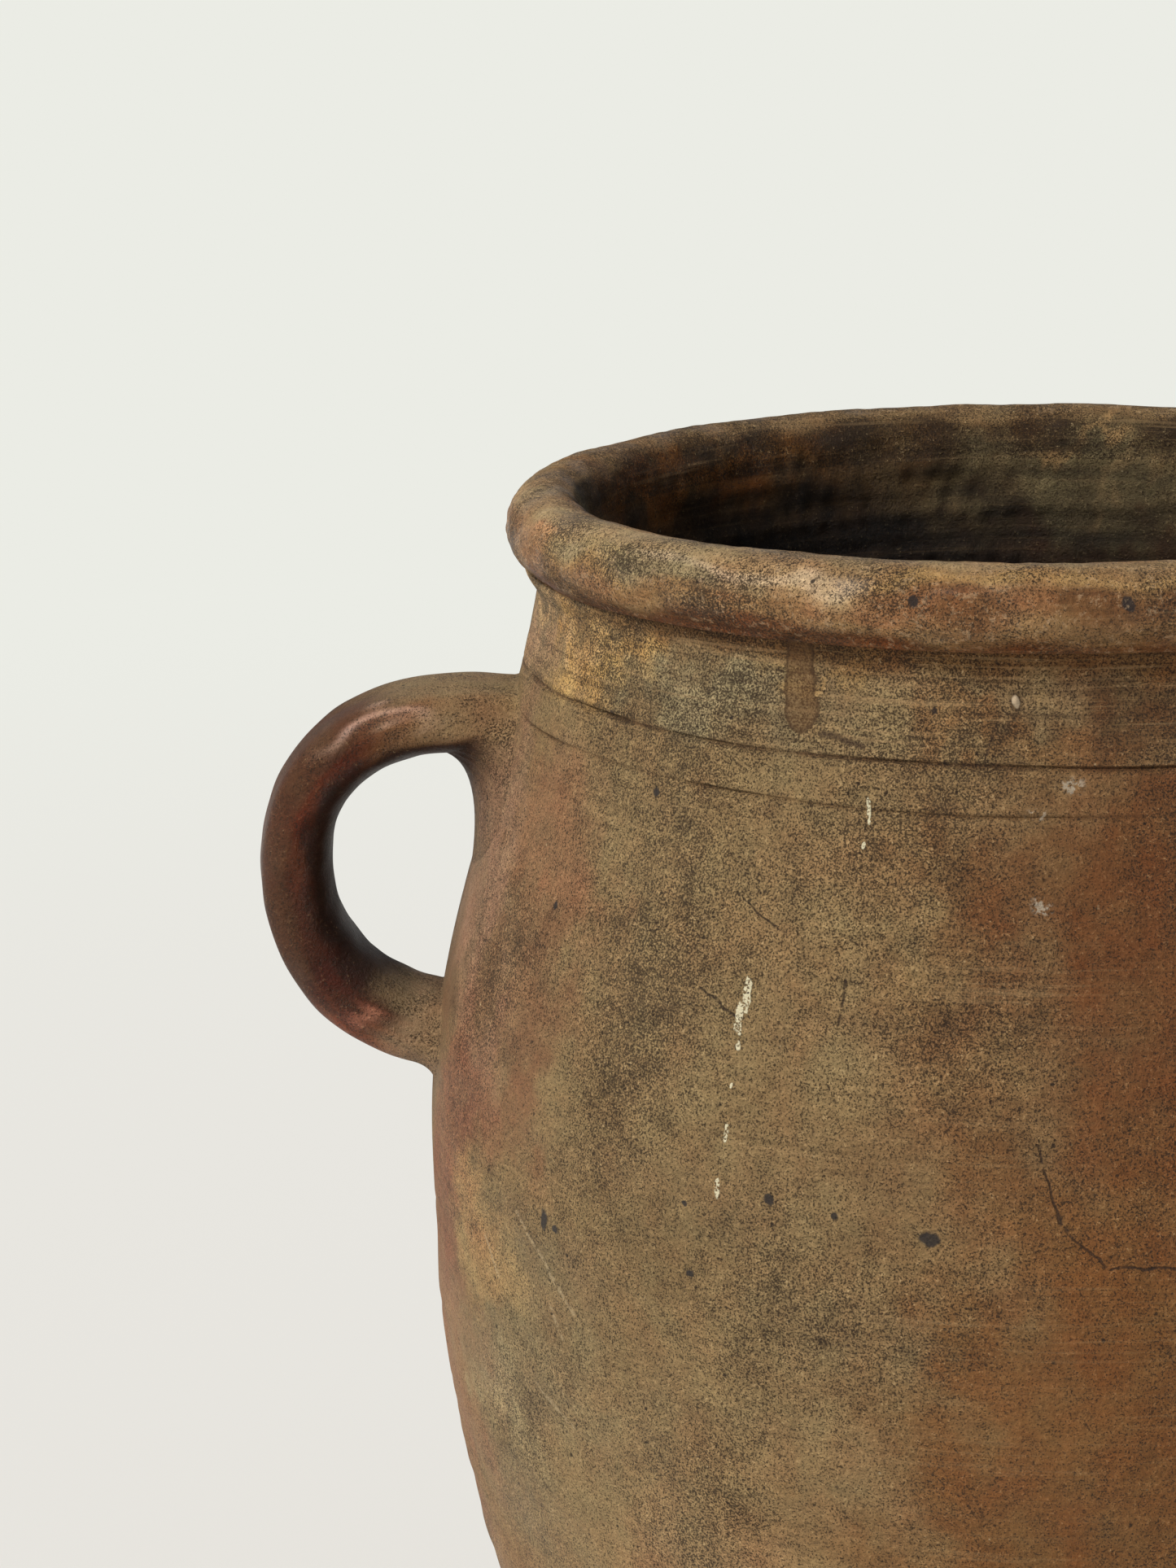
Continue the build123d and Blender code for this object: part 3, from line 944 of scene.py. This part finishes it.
def rim_paint(azimuth, height, section):
    """Colours of the coil, from its underside over the top and into the mouth."""
    along = section / 3000
    drift = 4 * waves(azimuth, along, 0.02, 43) + 2 * waves(azimuth, along, 0.008, 44)
    lean = section + 7 * waves(azimuth, along, 0.02, 45) + 3 * waves(azimuth, along, 0.008, 46)
    colour = np.zeros(height.shape + (3,)) + 0.5 * SAND + 0.5 * FAWN
    for degrees, angle, half_degrees, half_angle, cloud, strength in RIM_CLOUDS:
        across = turned_from(azimuth + drift, degrees) / half_degrees
        far = np.hypot(across, (lean - angle) / half_angle)
        colour = laid(colour, strength * smooth(1.35 - far), cloud)
    # Painted shade on the coil's underside, where it overhangs the neck
    colour = laid(colour, 0.85 * smooth((-14 - lean) / 34), tone(94, 48, 17))
    within = smooth((lean - 116) / 28)
    colour = laid(colour, within, wall_paint(azimuth, height, 1.0)["kiln_colour"])
    pepper = 0.8 + 0.2 * waves(azimuth, along, 0.02, 47) - 0.3 * smooth((azimuth - 240) / 20)
    gloss = 0.5 + 0.16 * waves(azimuth, along, 0.01, 48) - 0.3 * within
    wheel = 0.5 + 0 * height
    return {"kiln_colour": colour, "kiln_marks": np.stack([pepper, gloss, wheel], -1)}


def rim_marks(clay, colour, relief, rough, place):
    """Iron spots on the coil, and a pale rub where the light catches its ridge."""
    spot = nearest_spot(clay, wall_plane(clay, place), RIM_SPOTS).step(1.25, 0.8)
    colour = clay.mix(spot * 0.92, colour, tone(44, 38, 36))
    patches = clay.noise(place, 460, 4, 0.8)
    x, y, _ = clay.split(place)
    outside = clay.vector("LENGTH", clay.joined(x, y, 0)).step(0.108, 0.113)
    pits = dots(clay, place, 640, 0.26, 0.24, patches)
    colour = clay.mix((patches.step(0.5, 0.38) * outside) * 0.25, colour, tone(60, 40, 22))
    rubbed = patches.step(0.54, 0.66) * outside
    colour = clay.mix(rubbed * 0.4, colour, tone(206, 172, 132))
    colour = clay.mix((pits * outside) * 0.55, colour, tone(46, 28, 15))
    return colour, relief + 0.0004 * patches - 0.0002 * pits, rough - 0.12 * rubbed


def rim_piece(name, columns):
    """The coil: out of the crease, over the top on a circle, and down into the mouth.

    Two rows lead out to the crease from behind the collar's skin. Inside, the circle is
    drawn out to meet the wall of the mouth, which three more rows follow to the seam.
    """
    azimuth = np.arange(columns)[None, :] * 360 / columns
    crease = CREASE_HEIGHT + MM * crease_rise(azimuth)
    start = np.degrees(np.arcsin((crease - ROLL_MIDDLE_HEIGHT) / ROLL_RADIUS))
    section = start + (180 - start) * np.linspace(0, 1, ROLL_ROWS)[:, None]
    pressed = pressed_in(azimuth, section) * smooth((section - start) / 10)
    roll = np.radians(section)
    roll_r = ROLL_MIDDLE_RADIUS + (ROLL_RADIUS - pressed) * np.cos(roll)
    roll_z = ROLL_MIDDLE_HEIGHT + (ROLL_RADIUS - pressed) * np.sin(roll)
    mouth_z = np.linspace(ROLL_MIDDLE_HEIGHT, RIM_SEAM_INSIDE, 4)[1:, None] + 0 * azimuth
    mouth_r = inner_radius(azimuth, mouth_z)
    roll_r = roll_r + smooth((section - 150) / 30) * (mouth_r[:1] - roll_r[-1:])
    tuck_r = outer_radius(azimuth, CREASE_HEIGHT + 0 * azimuth) - 0.4 * MM
    tuck_r = np.concatenate([tuck_r, 0.5 * tuck_r + 0.5 * roll_r[:1]])
    tuck_z = crease + np.array([[0.0], [0.5]]) * MM
    tuck_section = start + np.array([[-8.0], [-4.0]])
    return closed_ring(
        name,
        np.concatenate([tuck_r, roll_r, mouth_r]),
        np.concatenate([tuck_z, roll_z, mouth_z]),
        np.concatenate([tuck_section, section, MOUTH_SECTION + 0 * mouth_z]),
        rim_paint,
    )


rolled_rim = rim_piece("rolled_rim_clay", 640)
settled(rolled_rim, fired_clay("fired_clay_rim", rim_marks), "rolled_rim")


# Handles and lutes
# Two straps pulled from a lump of wet clay, bent over and stuck on by hand. The lute, more
# soft clay, was pressed in under each root and smeared out along the strap and the wall.

# Middle line of the strap: radius and height in millimetres
STRAP_LINE = [
    (112.0, 327.4), (124.0, 329.3), (136.0, 330.2), (148.0, 329.2), (159.0, 325.6),
    (167.8, 319.2), (173.6, 311.0), (176.5, 301.5), (177.1, 291.5), (175.6, 281.6),
    (171.8, 272.3), (165.8, 264.5), (158.0, 258.7), (148.6, 254.3), (138.0, 251.8),
    (127.0, 251.0),
]
# Near that line's length. Only the pattern of dents is laid out by it.
STRAP_LENGTH = 0.17
STRAP_HALF_WIDTH = 16.2 * MM
STRAP_HALF_THICKNESS = 8.7 * MM
FOOT_HALF_THICKNESS = 9.6 * MM
STRAP_COLUMNS = 112
STRAP_STEPS = 420
BODY_ROWS = 128
FILLET_ROWS = 16
# The waves are counted round the belly, which is about 11 times as far round as a strap
ROUND_STRAP = 11


def along_strap(t):
    """Point of the strap's middle line at t, 0 to 1: a curve through the places given.

    Between two places it is a cubic whose slope at each is that of the chord past it.
    """
    places = np.array(STRAP_LINE) * MM
    way = np.clip(t, 0, 1) * (len(places) - 1)
    knot = np.clip(way.astype(int), 0, len(places) - 2)
    slope = np.gradient(places, axis=0)
    part = (way - knot)[:, None]
    return cubic(places[knot], places[knot + 1], slope[knot], slope[knot + 1], part)


def strap_surface(t, degrees, side, seed):
    """Points of the strap at t along it and an angle round it, 0 at its outer face.

    The section is a squared-off oval with a soft ridge where the outer face turns into
    the side, thicker towards the foot, and dented all over by the fingers.
    """
    middle = along_strap(t)
    step = 0.002
    ahead = along_strap(t + step) - along_strap(t - step)
    ahead /= np.linalg.norm(ahead, axis=1)[:, None]
    outward = np.stack([-ahead[:, 1], ahead[:, 0]], -1)
    grown = (FOOT_HALF_THICKNESS - STRAP_HALF_THICKNESS) * smooth(2 * t - 1)
    thick = (STRAP_HALF_THICKNESS + grown)[:, None]
    wide = (STRAP_HALF_WIDTH * (1 + 0.06 * (2 * t - 1) ** 4))[:, None]
    cosine, sine = np.cos(np.radians(degrees)), np.sin(np.radians(degrees))
    squared = (np.abs(cosine) ** 2.5 + np.abs(sine) ** 2.5) ** (-1 / 2.5)
    length = t[:, None] * STRAP_LENGTH
    uneven = 1 + 0.014 * waves(degrees, length, 0.014, seed, stretch=ROUND_STRAP)
    uneven = uneven + 0.009 * waves(degrees, length, 0.006, seed + 1, stretch=ROUND_STRAP)
    grow = squared * uneven - 0.012
    ridge = 0.5 * MM * bell(np.abs(degrees), 46, 13)
    hollow = 0.5 * MM * bell(degrees, 0, 24)
    lift = thick * cosine * grow + (ridge - hollow) * (cosine > 0)
    radius = middle[:, :1] + lift * outward[:, :1]
    height = middle[:, 1:] + lift * outward[:, 1:]
    centre = np.stack([side * middle[:, 0], 0 * t, middle[:, 1]], -1)
    return np.stack([side * radius, side * wide * sine * grow, height], -1), centre


def azimuth_of(points):
    """Azimuth of points, 0 to 360."""
    return np.degrees(np.arctan2(points[..., 1], points[..., 0])) % 360


def wall_gap(points):
    """How far points stand out from the wall, along the radius."""
    reach = np.hypot(points[..., 0], points[..., 1])
    return reach - outer_radius(azimuth_of(points), points[..., 2])


def pressed_to_wall(points, sunk):
    """Points moved along the radius until they lie as deep under the wall as asked."""
    reach = np.hypot(points[..., 0], points[..., 1])
    scale = (reach - wall_gap(points) - sunk) / reach
    return points * np.stack([scale, scale, np.ones_like(scale)], -1)


def at_length(lines, travelled, wanted):
    """Points a way along each line: the two places it falls between, mixed by the rest."""
    before = np.sum(travelled[None] <= wanted[:, None], 1) - 1
    before = np.clip(before, 0, len(travelled) - 2)
    column = np.arange(lines.shape[1])
    start, end = travelled[before, column], travelled[before + 1, column]
    part = ((wanted - start) / (end - start))[..., None]
    return lines[before, column] + part * (lines[before + 1, column] - lines[before, column])


def root_fillet(lines, centre, along, spread, full):
    """Rows that carry the strap's end down on to the wall, as the lute does.

    Each line along the strap meets the wall at a corner. From a way out along the strap
    it bends past the corner and ends a way down the wall, on a curve with the corner as
    its control point, which full moves outwards: (1 - u)^2 begin + 2 u (1 - u) bend +
    u^2 landing. Returns the rows, where on the lines they start, and the lines' lengths.
    """
    first = np.argmax(wall_gap(lines) > 0, 0)
    column = np.arange(lines.shape[1])
    outer, inner = lines[first, column], lines[np.maximum(first - 1, 0), column]
    outside, within = wall_gap(outer), wall_gap(inner)
    part = (outside / (outside - within))[:, None]
    corner = outer + part * (inner - outer)
    steps = np.linalg.norm(np.diff(lines, axis=0), axis=2)
    travelled = np.concatenate([np.zeros((1, lines.shape[1])), np.cumsum(steps, 0)])
    start = travelled[first, column] + along
    begin = at_length(lines, travelled, start[None])[0]
    away = corner - centre[first]
    normal = corner * (1, 1, 0)
    normal /= np.linalg.norm(normal, axis=1)[:, None]
    away -= np.sum(away * normal, 1)[:, None] * normal
    away /= np.linalg.norm(away, axis=1)[:, None]
    landing = pressed_to_wall(corner + spread[:, None] * away, 0.5 * MM)
    bend = corner + full[:, None] * (begin + landing - 2 * corner)
    u = np.linspace(0, 1, FILLET_ROWS)[:, None, None]
    rows = (1 - u) ** 2 * begin + 2 * u * (1 - u) * bend + u**2 * landing
    return rows, start, travelled


def strap_piece(name, side, seed):
    """One handle with both its lutes, closed by a fan inside the wall at each end."""
    degrees = np.linspace(-180, 180, STRAP_COLUMNS, endpoint=False)
    t = np.linspace(0, 1, STRAP_STEPS)
    surface, centre = strap_surface(t, degrees[None, :], side, seed)
    under = smooth((np.abs(degrees) - 60) / 100)
    thumbed = 1 + 0.12 * waves(degrees, 0 * degrees, 0.02, seed + 2, stretch=ROUND_STRAP)
    upper, upper_start, travelled = root_fillet(
        surface, centre, (1.5 + 11.5 * under) * MM * thumbed,
        (2.0 + 28 * under**2) * MM * thumbed, 0.06 + 0.1 * under,
    )
    lower, lower_start, _ = root_fillet(
        surface[::-1], centre[::-1], (0.5 + 4 * (1 - under)) * MM * thumbed,
        (0.6 + 4.4 * (1 - under)) * MM * thumbed, 0.06 + 0 * under,
    )
    share = np.linspace(0, 1, BODY_ROWS + 2)[1:-1]
    wanted = upper_start + share[:, None] * (travelled[-1] - lower_start - upper_start)
    body = at_length(surface, travelled, wanted)
    rows = np.concatenate([upper[::-1], body, lower])
    ends = pressed_to_wall(rows[[0, -1]].mean(1), 4 * MM)
    points = np.concatenate([rows.reshape(-1, 3), ends])
    row_share = np.concatenate([np.zeros(len(upper)), share, np.ones(len(lower))])
    number = np.arange(len(rows) * STRAP_COLUMNS).reshape(len(rows), STRAP_COLUMNS)
    beside = np.roll(number, -1, 1)
    quads = np.stack([number[:-1], beside[:-1], beside[1:], number[1:]], -1).reshape(-1, 4)
    fans = np.concatenate([
        np.stack([beside[0], number[0], np.full(STRAP_COLUMNS, len(points) - 2)], -1),
        np.stack([number[-1], beside[-1], np.full(STRAP_COLUMNS, len(points) - 1)], -1),
    ])
    coats = strap_paint(points, row_share, degrees, seed)
    return finished(name, points, quads.tolist() + fans.tolist(), coats)


def strap_paint(points, share, degrees, seed):
    """Colours of a strap: smoky olive outside, a pink ridge of painted highlight, red-brown
    beneath.

    way is the share of the strap's length, bent the angle from its outer face. From the
    upper root on, near, bend and low follow one another; outer and inner are its faces.
    The last two points close the ends inside the wall, in the colours of the first two.
    """
    skin = points[:-2]
    turn = np.tile(degrees, len(share))
    way = np.repeat(share, STRAP_COLUMNS)
    swirl = waves(turn, way * 0.06, 0.011, seed + 3, stretch=9)
    fine_swirl = waves(turn, way * 0.08, 0.004, seed + 4, stretch=9)
    bent = np.abs(turn) + 8 * swirl + 4 * fine_swirl
    swirled = way + 0.02 * swirl
    bend = smooth((swirled - 0.12) / 0.2)
    low = smooth((swirled - 0.8) / 0.12)
    near = 1 - smooth((swirled - 0.07) / 0.2)
    outer = smooth((58 + 34 * bend - bent) / 26)
    inner = smooth((bent - 98) / 28)
    ridge_line = 48 + 38 * (1 - smooth(way / 0.34))
    ridge = bell(bent, ridge_line, 8) * smooth((way - 0.06) / 0.12)
    ridge *= 1 - smooth((way - 0.24) / 0.14)
    at_wall = smooth(1 - wall_gap(skin) / (9 * MM))
    azimuth, height = azimuth_of(skin), skin[:, 2]
    colour = np.zeros(skin.shape) + tone(112, 72, 44)
    glint = bell(way, 0.885, 0.025) * bell(bent, 92, 8)
    for cover, over in (
        (0.9 * bend * (1 - low), tone(74, 29, 10)),
        (0.6 * smooth((way - 0.5) / 0.15), tone(42, 16, 8)),
        # Near black on the inner face, towards the wall: dark red-brown clay and painted shade
        (0.9 * inner, tone(36, 17, 10)),
        (0.9 * outer * (1 - bend), GREY_OLIVE),
        (0.85 * outer * bend, tone(70, 44, 27)),
        (0.9 * low * inner, tone(110, 91, 66)),
        (0.75 * low * (1 - inner) * (1 - outer), tone(52, 24, 12)),
        (0.6 * low * outer, tone(140, 76, 48)),
        # The pink ridge and the glint are painted highlights
        (0.65 * ridge, tone(194, 156, 134)),
        (0.4 * glint, tone(196, 130, 104)),
        (0.75 * near * (1 - inner), tone(124, 101, 72)),
        (0.65 * smooth((way - 0.9) / 0.08), tone(152, 126, 96)),
        (0.75 * at_wall, wall_paint(azimuth, height, 0.0)["kiln_colour"]),
    ):
        colour = laid(colour, cover, over)
    pepper = 0.3 + 0.12 * fine_swirl + 0.3 * at_wall
    gloss = 0.55 + 0.4 * ridge + 0.08 * swirl - 0.3 * at_wall
    marks = np.stack([pepper, gloss, 0 * gloss], -1)
    coats = {"kiln_colour": colour, "kiln_marks": marks}
    return {coat: np.concatenate([values, values[:2]]) for coat, values in coats.items()}


strap_clay = fired_clay("fired_clay_strap")
for which, side, seed in (("left", -1, 51), ("right", 1, 71)):
    settled(
        strap_piece(f"{which}_handle_clay", side, seed), strap_clay,
        f"{which}_handle", f"{which}_handle_upper_lute", f"{which}_handle_lower_lute",
    )


# Studio
# A wide pale floor that runs off into a pale room, soft window light from the front left
# and a weak fill from the rest of the room.

PALE = (*tone(235, 236, 229), 1)
PAPER_REACH = 9
TO_WINDOW = Vector((-0.565, -0.426, 0.707))
CAMERA_PLACE = (-0.1066, -0.8099, 0.5161)
# In radians: tipped down by the pitch, and turned anticlockwise about its view by the roll
CAMERA_PITCH = 0.247
CAMERA_ROLL = -0.020

paper = Recipe(bpy.data.materials.new("studio_paper"))
place = paper.node("ShaderNodeTexCoord", output="Object")
far_off = paper.vector("LENGTH", place).step(0.45, 1.9)
seen = paper.node("ShaderNodeLightPath", output="Is Camera Ray")
lit = paper.node(
    "ShaderNodeBsdfPrincipled", None, {"Base Color": (0.76, 0.75, 0.72, 1), "Roughness": 0.9}
)
glow = paper.node("ShaderNodeEmission", None, {"Color": PALE})
either = paper.node("ShaderNodeMixShader", None, {0: far_off * seen, 1: lit, 2: glow})
paper.node("ShaderNodeOutputMaterial", None, {"Surface": either})

studio_floor = placed("studio_floor", bpy.data.meshes.new("studio_floor"))
corners = [(x * PAPER_REACH, y * PAPER_REACH, 0) for x, y in ((-1, -1), (1, -1), (1, 1), (-1, 1))]
studio_floor.data.from_pydata(corners, [], [(0, 1, 2, 3)])
studio_floor.data.materials.append(paper.owner)

room = Recipe(bpy.data.worlds.new("studio_room"))
seen = room.node("ShaderNodeLightPath", output="Is Camera Ray")
fill = room.node("ShaderNodeBackground", None, {"Color": (0.98, 0.99, 1.0, 1), "Strength": 0.31})
backdrop = room.node("ShaderNodeBackground", None, {"Color": PALE})
either = room.node("ShaderNodeMixShader", None, {0: seen, 1: fill, 2: backdrop})
room.node("ShaderNodeOutputWorld", None, {"Surface": either})
bpy.context.scene.world = room.owner

window = placed("window_light", bpy.data.lights.new("window_light", "SUN"))
window.data.energy, window.data.angle = 3.4, math.radians(30)
window.data.color = (1.0, 0.985, 0.955)
window.location = TO_WINDOW * 2
window.rotation_euler = TO_WINDOW.to_track_quat("Z", "Y").to_euler()

camera = placed("camera", bpy.data.cameras.new("camera"))
camera.data.lens, camera.data.sensor_width = 80.09, 36
camera.matrix_world = (
    Matrix.Translation(CAMERA_PLACE)
    @ Matrix.Rotation(math.pi / 2 - CAMERA_PITCH, 4, "X")
    @ Matrix.Rotation(CAMERA_ROLL, 4, "Z")
)
bpy.context.scene.camera = camera
bpy.context.scene.view_settings.view_transform = "Standard"
